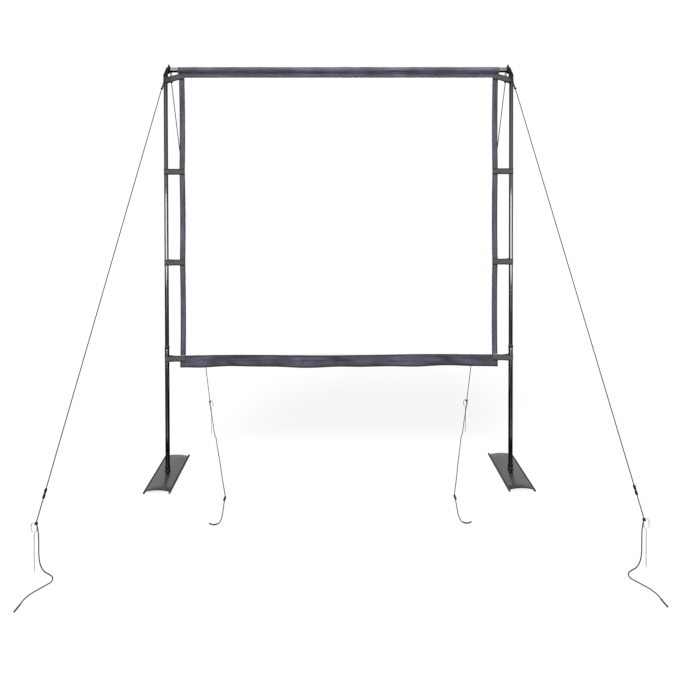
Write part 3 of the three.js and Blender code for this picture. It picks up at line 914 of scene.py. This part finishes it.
def drawn(outline_at, low, high, edge):
    """An outline in X and Z drawn along Y from low to high; outline_at(depth) gives it drawn in by
    depth, as it is by edge at both ends."""
    ends = [(low, edge), (low + edge * 0.3, edge * 0.3), (low + edge, 0)]
    middle = [(y, 0) for y in spaced(low, high, 8)[1:-1]]
    rows = []
    for y, depth in ends + middle + [(high - y + low, depth) for y, depth in reversed(ends)]:
        rows.append([Vector((pole_x + point.x, y, point.y)) for point in outline_at(depth)])
    return Skin().solid(rows)


def plate_outline(depth):
    angle = arch_angle - depth / arch_over
    under = arch_line(arch_under + depth, angle, -angle, 36)
    return under + arch_line(arch_over - depth, -angle, angle, 36)


def strip_outline(depth):
    inner = arch_angle - STRIP_GRIP / arch_under + depth / arch_under
    slot_end = arch_angle + GAP / arch_under
    outer = slot_end + STRIP_LIP / arch_under - depth / arch_under
    over = arch_over + GAP + STRIP_LIP - depth
    slot_over = arch_line(arch_over + GAP, inner, slot_end, 6)
    slot_under = arch_line(arch_under - GAP, slot_end, inner, 6)
    top = arch_line(over, outer, inner, 8)
    heel = arch_point(arch_under - GAP - STRIP_LIP / 2, inner)
    toe = Vector((top[0].x, depth))
    return [toe, *top, *slot_over, *slot_under, heel, Vector((heel.x, depth))]


def add_plate(side, body):
    skin = drawn(plate_outline, plate_low.y, plate_high.y, PLATE_EDGE)
    fit(side, "arched_plate", skin, SATIN_GREY, body, "foot_plate")
    for edge, flip in (("outer", 1), ("inner", -1)):
        skin = drawn(strip_outline, strip_low.y, strip_high.y, STRIP_EDGE)
        skin.points = [Vector((pole_x + flip * (p.x - pole_x), p.y, p.z)) for p in skin.points]
        fit(side, f"{edge}_edge_rubber", skin, RUBBER, body, f"foot_{edge}_strip")


def add_socket(side, body):
    """The tube that the pole stands in, and the weld round its foot."""
    inner = socket_radius - SOCKET_WALL
    floor = socket_low.z + SOCKET_FLOOR
    outline = [
        (BOLT_HOLE, socket_low.z),
        (socket_radius, socket_low.z),
        (socket_radius, socket_high.z),
        (inner, socket_high.z),
        (inner, floor),
        (BOLT_HOLE, floor),
    ]
    skin = lathe(soften(outline, SOCKET_EDGE), pole_foot)
    fit(side, "socket_tube", skin, GLOSS_BLACK, body, "foot_socket")

    bead = []
    radius = []
    for angle in around(120):
        spot = polar(socket_radius + WELD_OUT, angle, arch_middle + WELD_LIFT)
        spot.z += sqrt(arch_over**2 - spot.x**2)
        bead.append(pole_foot + spot)
        radius.append(WELD + WELD_RIPPLE * sin(angle * WELD_RIPPLES))
    fit(side, "socket_weld", hoop(bead, radius, 10), BLACK_WELD, body)


def add_screw(side, body):
    """The screw that clamps the pole in the socket, with a six-sided hole for a key."""
    head = (screw_high.x - screw_low.x) / 2
    seat = socket_radius + GAP
    tip = -screw_low.y

    def hexagon(angle):
        turn = (angle + pi / 6) % (pi / 3) - pi / 6
        return head * SCREW_KEY / cos(turn)

    profile = [
        (SCREW_RADIUS, lower_radius + GAP),
        (SCREW_RADIUS, seat),
        (head - RIM, seat),
        (head, seat + RIM),
        *((head * share, tip - depth) for share, depth in SCREW_CROWN),
        (hexagon, tip),
        (hexagon, tip - SCREW_HOLLOW),
    ]
    place = Vector((pole_x, 0, (screw_low.z + screw_high.z) / 2))
    skin = Skin().solid(turned(profile, place, FORWARD))
    fit(side, "clamp_screw", skin, BLACK_SCREW, body, "foot_screw")


# Poles
def add_poles(side):
    for part, low, high, radius, body in (
        ("lower", lower_low.z, lower_high.z, lower_radius, "stand"),
        ("upper", upper_low.z, upper_high.z, upper_radius, "mast"),
    ):
        skin = tube(radius, radius - POLE_WALL, low, high, pole_foot)
        fit(side, f"{part}_tube", skin, GLOSS_BLACK, body, f"{part}_pole")


def add_lock(side):
    """The knurled lock ring and the split collet in it."""
    outer = (collar_high.x - collar_low.x) / 2

    def knurled(angle):
        return outer - KNURL_DEPTH * (0.5 + 0.5 * cos(KNURLS * angle))

    end = [
        (lower_radius + GAP, 0),
        (outer - RIM, 0),
        (outer, RIM),
        (outer, RING_LIP),
        (knurled, RING_LIP + RING_SLOPE),
    ]
    profile = [(radius, collar_low.z + depth) for radius, depth in end]
    profile += [(radius, collar_high.z - depth) for radius, depth in reversed(end)]
    skin = lathe(profile, pole_foot, sides=KNURLS * 4)
    fit(side, "twist_grip", skin, BLACK_PLASTIC, f"{side}_collar", "lock_collar")

    flange = (collet_high.x - collet_low.x) / 2
    bore = upper_radius + GAP
    shoulder = collar_high.z + GAP
    outline = [
        (bore, collet_low.z),
        (lower_radius, collet_low.z),
        (lower_radius, shoulder),
        (flange, shoulder),
        (flange, collet_high.z),
        (bore, collet_high.z),
    ]
    outline = soften(outline, COLLET_EDGE)
    slit = asin(COLLET_SLIT / 2 / flange)
    rows = []
    for angle in spaced(pi * 0.5 + slit, pi * 2.5 - slit, 64):
        rows.append([pole_foot + polar(point.x, angle, point.y) for point in outline])
    skin = Skin().solid(rows)
    fit(side, "collet_ring", skin, PALE_PLASTIC, "stand", "lock_collet")


# Head: elbow, rope eye and bar
def add_elbow(side):
    seat = GAP - ELBOW_DROP
    face = GAP - ELBOW_INSET
    corners = [
        (-upper_radius, seat),
        (upper_radius, seat),
        (upper_radius, seat + ELBOW_SHOULDER),
        (upper_radius - ELBOW_CORNER, bar_radius),
        (face, bar_radius),
        (face, -bar_radius),
    ]
    crook = Vector((-upper_radius, -bar_radius))
    below = crook - Vector((0, ELBOW_FILLET))
    corners += [bend(Vector(corners[-1]), crook, below, k / 8) for k in range(1, 9)]
    outline = soften(corners, ELBOW_EDGE)
    stations = []
    for turn in spaced(0, pi / 2, 4):
        y = ELBOW_BEVEL * (1 - cos(turn)) - ELBOW_THICKNESS / 2
        stations.append((y, ELBOW_BEVEL * (1 - sin(turn))))
    foot, top, height = PARTING_LINE
    parting_line = [(-foot, 0.0), (-top, -height), (top, -height), (foot, 0.0)]
    rows = []
    for y, depth in stations + parting_line + [(-y, depth) for y, depth in reversed(stations)]:
        rows.append([Vector((pole_x + p.x, y, bar_height + p.y)) for p in inset(outline, depth)])
    skin = Skin().solid(rows)
    radius = upper_radius - POLE_WALL - GAP
    place = Vector((pole_x, 0, bar_height + seat))
    skin.solid(turned([(radius, -ELBOW_SPIGOT), (radius, SPIGOT_ROOT)], place))
    radius = bar_radius - BAR_WALL - GAP
    place = Vector((pole_x + face, 0, bar_height))
    profile = [(radius, -SPIGOT_ROOT), (radius, ELBOW_SPIGOT)]
    skin.solid(turned(profile, place, -OUTWARD))
    fit(side, "elbow_moulding", skin, BLACK_PLASTIC, "mast", "corner_elbow")


def add_eye(side):
    ring = []
    for angle in around(48):
        ring.append(eye_place + Vector((0, cos(angle), sin(angle))) * EYE_RING)
    skin = hoop(ring, EYE_WIRE / 2, 16)
    foot = bar_height + bar_radius
    profile = [
        (EYE_SHANK / 2, eye_low.z),
        (EYE_SHANK / 2, foot + GAP),
        (EYE_SHANK * 0.8, foot + GAP),
        (EYE_SHANK * 0.8, foot + EYE_FLANGE[0]),
        (EYE_SHANK * 0.45, foot + EYE_FLANGE[1]),
        (EYE_SHANK * 0.3, eye_place.z - EYE_RING),
    ]
    skin.solid(turned(profile, Vector((eye_place.x, 0, 0)), sides=32))
    fit(side, "eye_bolt", skin, STEEL, "mast", "rope_eye")


def add_bar(side):
    skin = tube(bar_radius, bar_radius - BAR_WALL, bar_low.x, bar_high.x, UP * bar_height, OUTWARD)
    fit(side, "bar_tube", skin, GLOSS_BLACK, "mast", "top_bar")


# Screen cloth
def draw_in(height):
    """How far the screen's side draws in between two straps."""
    for upper, lower in zip(strap_heights, strap_heights[1:]):
        if lower < height < upper:
            t = (height - lower) / (upper - lower)
            return SCALLOP * 4 * t * (1 - t) - STRAP_PULL
    return -STRAP_PULL


def billow(x, height):
    """Y of the stretched cloth: a slight swell, and creases that fan out from the straps."""
    u = abs(x) / half_white
    v = (height - white_low.z) / (white_high.z - white_low.z)
    inside = max(0.0, 1 - u * u) * max(0.0, sin(pi * min(max(v, 0), 1)))
    y = -BILLOW * inside
    y += BILLOW_UNEVEN * inside**0.5 * noise.noise(Vector((x * 2.4, height * 2.1, 0.7)))
    for strap in strap_heights[1:3]:
        across = half_white - abs(x)
        reach = hypot(across, height - strap)
        fan = atan2(height - strap, across + 0.02)
        y += CREASE * exp(-reach / CREASE_REACH) * smooth_step(reach / 0.06) * sin(6 * fan)
    return y


def stitch_line(skin, line, out, pitch=STITCH):
    """Adds stitches along a line of points, standing on a surface that faces out."""
    distance = run(line)
    step = 0
    for k in range(int(distance[-1] / pitch)):
        path = []
        for share, lift in STITCH_SHAPE:
            want = (k + share) * pitch
            while distance[step + 1] < want:
                step += 1
            t = (want - distance[step]) / (distance[step + 1] - distance[step])
            path.append(line[step].lerp(line[step + 1], t) + out * (THREAD * lift))
        skin.solid(swept(path, [THREAD * 0.7, THREAD, THREAD, THREAD * 0.7], 5))
        step = max(0, step - 3)


def flat_band(rows_of, stations, thickness):
    """A closed band of cloth with rounded edges; rows_of(station) gives a line of points, which
    faces forward."""
    rows = []
    for station in stations:
        line = rows_of(station)
        lift = [0.35, 0.8] + [1.0] * (len(line) - 4) + [0.8, 0.35]
        front = [p + FORWARD * (thickness / 2 * h) for p, h in zip(line, lift)]
        back = [p - FORWARD * (thickness / 2 * h) for p, h in zip(line, lift)]
        rows.append(front + back[::-1])
    return Skin().solid(rows)


def thicken(piece, thickness):
    """Gives a single layer of cloth its thickness, on the mast."""
    cloth = piece.modifiers.new("cloth", "SOLIDIFY")
    cloth.thickness = thickness
    cloth.offset = 0
    piece.data.set_sharp_from_angle(angle=radians(CLOTH_ANGLE))
    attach(piece, "mast")


def add_white():
    rows = []
    for height in spaced(white_low.z - WHITE_TUCK[0], white_high.z + WHITE_TUCK[1], 150):
        edge = (half_white - draw_in(height)) / half_white
        row = []
        for x in spaced(-half_white, half_white, 160):
            row.append(Vector((x * edge, billow(x * edge, height), height)))
        rows.append(row)
    piece = make("white_sheet", Skin().rows(rows), WHITE_FABRIC, None, ["screen_fabric"])
    thicken(piece, WHITE_CLOTH)


def border_line(height):
    """The right border's line across at a height, puckered between its edges."""
    inner = border_low.x - BORDER_LAP - draw_in(height)
    line = []
    for share in (0, 0.015, 0.045, 0.18, 0.4, 0.62, 0.82, 0.94, 0.985, 1):
        offset = BORDER_WIDTH * share
        drift = noise.noise(Vector((0, offset * 30, height * 9)))
        pucker = PUCKER * sin(height * 260 + 3 * drift)
        tuck = pucker * smooth_step(offset / 0.008) * smooth_step((BORDER_WIDTH - offset) / 0.006)
        x = inner + offset
        line.append(Vector((x, billow(x, height) + tuck, height)))
    return line


def add_border(side):
    heights = spaced(border_low.z + BORDER_TRIM, border_high.z - BORDER_TRIM, 280)
    skin = flat_band(border_line, heights, BORDER_THICKNESS)
    piece = fit(side, "border_tape", skin, BORDER_CLOTH, "mast", "side_border")
    front = FORWARD * (BORDER_THICKNESS / 2)
    threads = Skin()
    for column in (3, 7):
        stitch_line(threads, [border_line(height)[column] + front for height in heights], FORWARD)
    stitches = fit(side, "border_stitches", threads, THREAD_GREY, "mast")


def hem_line(x):
    """The hem's line from top to bottom at x: folds grow towards its free lower edge."""
    rise, span, crest = HEM_WAVE
    sway = rise * cos(tau * (x - crest) / span)
    ends = smooth_step((hem_high.x - abs(x)) / 0.14)
    wave = sum(depth * sin(x * rate + start) for depth, rate, start in HEM_SWELLS)
    line = []
    for t in (0, 0.006, 0.02, 0.08, 0.16, 0.26, 0.36, 0.46, 0.56, 0.66, 0.76, 0.86, 0.94, 0.985, 1.0):
        z = hem_high.z - t * hem_height
        drift = noise.noise(Vector((x * 5, z * 9, 2.0)))
        fold = HEM_FOLD * sin(x * 46 + z * 60 + 4 * drift)
        fold += HEM_DENT * noise.noise(Vector((x * 9 + z * 14, z * 22, 5.0)))
        loose = smooth_step((t - 0.12) / 0.25)
        y = ends * loose * (wave * t + fold * smooth_step((1.05 - t) / 0.2))
        line.append(Vector((x, y, z + sway)))
    return line


def add_hem():
    stations = spaced(hem_low.x, hem_high.x, 440)
    skin = flat_band(hem_line, stations, BORDER_THICKNESS)
    piece = make("hem_band", skin, HEM_CLOTH, "mast", ["bottom_hem"])
    front = FORWARD * (BORDER_THICKNESS / 2)
    threads = Skin()
    for row in (3, 12):
        stitch_line(threads, [hem_line(x)[row] + front for x in stations[2:-2]], FORWARD)
    for inset_x in (HEM_STITCH_INSET, HEM_END):
        for sign in SIDES.values():
            end = hem_line(sign * (hem_high.x - inset_x))
            stitch_line(threads, [point + front for point in end[2:-2]], FORWARD)
    stitches = make("hem_stitches", threads, THREAD_GREY, "mast")


def sleeve_section(x):
    """The sleeve's cloth at x, from its front lower edge up round the bar and down behind."""
    ease = SLEEVE_EASE[0] + SLEEVE_EASE[1] * noise.noise(Vector((x * 16, 1.0, 0)))
    radius = bar_radius + GAP + SLEEVE_CLOTH / 2 + ease
    parting = Vector((SLEEVE_GAPE, -SLEEVE_SEAM_DROP))
    angle = atan2(parting.y, parting.x) + acos(radius / parting.length)
    skirt = [(-SLEEVE_GAPE, z) for z in spaced(sleeve_low.z - bar_height, -SLEEVE_SEAM_DROP, 5)]
    arc = []
    for turn in spaced(angle, pi - angle, 32):
        sag = max(SLEEVE_SAG * noise.noise(Vector((x * 26, turn * 1.4, 3.0))), -ease * 0.8)
        arc.append(((radius + sag) * cos(turn), (radius + sag) * sin(turn)))
    points = []
    for y, z in skirt + arc[::-1] + [(-y, z) for y, z in reversed(skirt)]:
        ripple = SLEEVE_RIPPLE * sin(x * 190 + 5 * noise.noise(Vector((x * 7, 0, 6.0))))
        below = smooth_step((-SLEEVE_SEAM_DROP + 0.004 - z) / 0.008)
        points.append(Vector((x, y + ripple * below, bar_height + z)))
    return points


def add_sleeve():
    rows = [sleeve_section(x) for x in spaced(sleeve_low.x, sleeve_high.x, 420)]
    piece = make("sleeve_cloth", Skin().rows(rows), SLEEVE_GREY, None, ["top_sleeve"])
    thicken(piece, SLEEVE_CLOTH)
    threads = Skin()
    for column, out in ((5, FORWARD), (1, FORWARD), (-6, -FORWARD), (-2, -FORWARD)):
        seam = [row[column] + out * (SLEEVE_CLOTH / 2) for row in rows[1:-1]]
        stitch_line(threads, seam, out)
    stitches = make("sleeve_stitches", threads, THREAD_GREY, "mast")


# Straps
def tangent(point, radius, turn):
    """Angle on a circle round the origin where a line from point touches it."""
    return atan2(point.y, point.x) + turn * acos(radius / point.length)


def strap_path(radius):
    """Plan of a strap round the pole's axis: the sewn tongue, the loop and its return."""
    front = Vector((0, -BORDER_THICKNESS / 2 - 2 * GAP - STRAP_LAYER * 1.5))
    back = front + Vector((0, STRAP_LAYER))
    parting = STRAP_JOIN - STRAP_REACH
    loop = radius + STRAP_EASE + STRAP_LAYER / 2
    tongue = [front + Vector((x, 0)) for x in spaced(-STRAP_REACH - STRAP_LAP, parting, 12)]
    start = tangent(tongue[-1], loop, 1) % tau
    end = tangent(Vector((parting, back.y)), loop, -1) % tau + tau
    arc = [Vector((cos(a), sin(a))) * loop for a in spaced(start, end, 30)]
    last = [back + Vector((x, 0)) for x in spaced(parting, -STRAP_REACH + STRAP_END, 8)]
    bridge = [tongue[-1].lerp(arc[0], k / 4) for k in range(1, 4)]
    return_bridge = [arc[-1].lerp(last[0], k / 4) for k in range(1, 4)]
    return tongue + bridge + arc + return_bridge + last


def strap_seams():
    """Lines of a strap's stitches, from the pole's axis and the strap's middle: a crossed box on the
    border and two lines where the loop closes."""
    left = -STRAP_REACH - STRAP_LAP + STITCH_INSET
    right = -STRAP_REACH - STITCH_INSET
    top = strap_half - STITCH_INSET
    box = [(left, -top), (right, -top), (right, top), (left, top), (left, -top)]
    lines = [*zip(box, box[1:]), (box[0], box[2]), (box[3], box[1])]
    join = STRAP_JOIN - STRAP_REACH - STRAP_END
    return lines + [((x, -top), (x, top)) for x in (join, join - STITCH_INSET)]


def add_strap(side, number):
    radius = lower_radius if number == 4 else upper_radius
    rise = STRAP_RISE if number == 1 else 0.0
    middle = strap_boxes[number - 1][0].z + strap_half
    path = strap_path(radius)
    outside = radius + STRAP_EASE + 2 * STRAP_LAYER

    def spot(x, y, z):
        """A point at x and y from the pole's axis, z up from the strap's middle."""
        lift = rise * min(max((-x - outside) / (STRAP_REACH - outside), 0), 1)
        return Vector((pole_x + x, y, middle + z + lift))

    section = []
    for z in (-1, -0.97, -0.6, -0.2, 0.2, 0.6, 0.97, 1):
        section.append((-0.5 if abs(z) < 0.99 else -0.25, z))
    section += [(-t, z) for t, z in reversed(section)]
    rows = []
    for point, way in zip(path, directions(path)):
        out = Vector((way.y, -way.x))
        rows.append([spot(*(point + out * (t * STRAP_LAYER)), z * strap_half) for t, z in section])
    name = f"strap_{number}"
    skin = Skin().solid(rows)
    strap = fit(side, f"{name}_webbing", skin, WEBBING, "mast", name)

    surface = path[0].y - STRAP_LAYER / 2
    threads = Skin()
    for line in strap_seams():
        start, end = (spot(x, surface, z) for x, z in line)
        stitch_line(threads, [start.lerp(end, t) for t in spaced(0, 1, 8)], FORWARD, STRAP_STITCH)
    stitches = fit(side, f"{name}_stitches", threads, THREAD_GREY, "mast")


for side in SIDES:
    for which in GUYS:
        add_rope(side, which)
add_white()
add_sleeve()
add_hem()
for side in SIDES:
    foot = f"{side}_foot"
    add_plate(side, foot)
    add_socket(side, foot)
    add_screw(side, foot)
    add_poles(side)
    add_lock(side)
    add_elbow(side)
    add_eye(side)
    add_bar(side)
    add_border(side)
    for number in range(1, 5):
        add_strap(side, number)


# Floor and light
def add_floor():
    """A white floor that throws little light back up."""
    height, half = FLOOR
    corners = [(-half, -half), (half, -half), (half, half), (-half, half)]
    mesh = bpy.data.meshes.new("floor")
    mesh.from_pydata([(x, y, height) for x, y in corners], [], [(0, 1, 2, 3)])
    glow = {"Emission_Color": (1, 1, 1, 1), "Emission_Strength": 0.74}
    finish = Finish("floor", Base_Color=(*grey(0.2), 1), Roughness=0.9, Specular_IOR_Level=0.0, **glow)
    dim = finish.node("ShaderNodeBsdfDiffuse", Color=(0.03, 0.03, 0.03, 1)).outputs[0]
    seen = finish.node("ShaderNodeLightPath").outputs["Is Camera Ray"]
    look = finish.node("ShaderNodeMixShader", _0=seen, _1=dim, _2=finish.shader.outputs[0])
    finish.tree.links.new(look.outputs[0], finish.tree.nodes["Material Output"].inputs[0])
    mesh.materials.append(finish.material)
    floor = put("floor", mesh)


def add_sky():
    """White all round; shiny surfaces see a studio that is dark below eye level."""
    world = bpy.data.worlds.new("studio")
    bpy.context.scene.world = world
    world.use_nodes = True
    sky = Nodes(world.node_tree)
    ray = sky.node("ShaderNodeLightPath").outputs
    direction = sky.node("ShaderNodeTexCoord").outputs["Generated"]
    height = sky.node("ShaderNodeSeparateXYZ", Vector=direction).outputs["Z"]
    horizon = sky.spread(height, 0.03, 0.5, -0.03, 0.03)
    ceiling = sky.spread(height, 1.0, 0.2, 0.5, 0.75)
    plain = sky.plus(sky.times(ray["Is Camera Ray"], 0.14), 0.88)
    strength = sky.spread(ray["Is Glossy Ray"], plain, sky.times(horizon, ceiling), 0.0, 1.0)
    backdrop = sky.tree.nodes["Background"]
    backdrop.inputs["Color"].default_value = (1, 1, 1, 1)
    sky.tree.links.new(strength, backdrop.inputs["Strength"])


def add_lamp(name, lamp, place, aim):
    light = put(name, lamp)
    light.location = place
    light.rotation_euler = (Vector(aim) - Vector(place)).to_track_quat("-Z", "Y").to_euler()
    return light


def add_sun():
    lamp = bpy.data.lights.new("key", "SUN")
    lamp.energy = 2.85
    lamp.angle = radians(30)
    add_lamp("key", lamp, (-0.9, -3.0, 3.9), (0, 0, 0.6))


def add_panel(name, place, aim, width, height, radiance):
    """A bright panel that only the polished tubes show, as a highlight."""
    lamp = bpy.data.lights.new(name, "AREA")
    lamp.shape = "RECTANGLE"
    lamp.size = width
    lamp.size_y = height
    lamp.energy = radiance * pi * width * height
    panel = add_lamp(name, lamp, place, aim)
    panel.visible_camera = False
    panel.visible_diffuse = False
    panel.light_linking.receiver_collection = polished


polished = bpy.data.collections.new("polished")
for side in SIDES:
    for part in ("lower_tube", "upper_tube", "bar_tube"):
        polished.objects.link(bpy.data.objects[f"{side}_{part}"])
add_floor()
add_sky()
add_sun()
add_panel("window", (0, -4.2, 0.77), (0, 0, 0.77), 7.0, 1.38, 14)
add_panel("wall", (0, -4.2, 2.35), (0, 0, 2.35), 7.0, 1.7, 2.0)
add_panel("skylight", (0, -3.2, 5.6), (0, 0, bar_height), 7.0, 3.0, 10)
add_panel("far_carpet", (0, -3.45, 0.004), (0, -3.45, 1), 4.0, 1.4, 2.5)
for side, sign in SIDES.items():
    place = Vector((sign * pole_x, -1.55, 0.004))
    add_panel(f"{side}_carpet", place, place + UP, 0.5, 2.4, 1.7)
bpy.context.scene.view_settings.view_transform = "Standard"
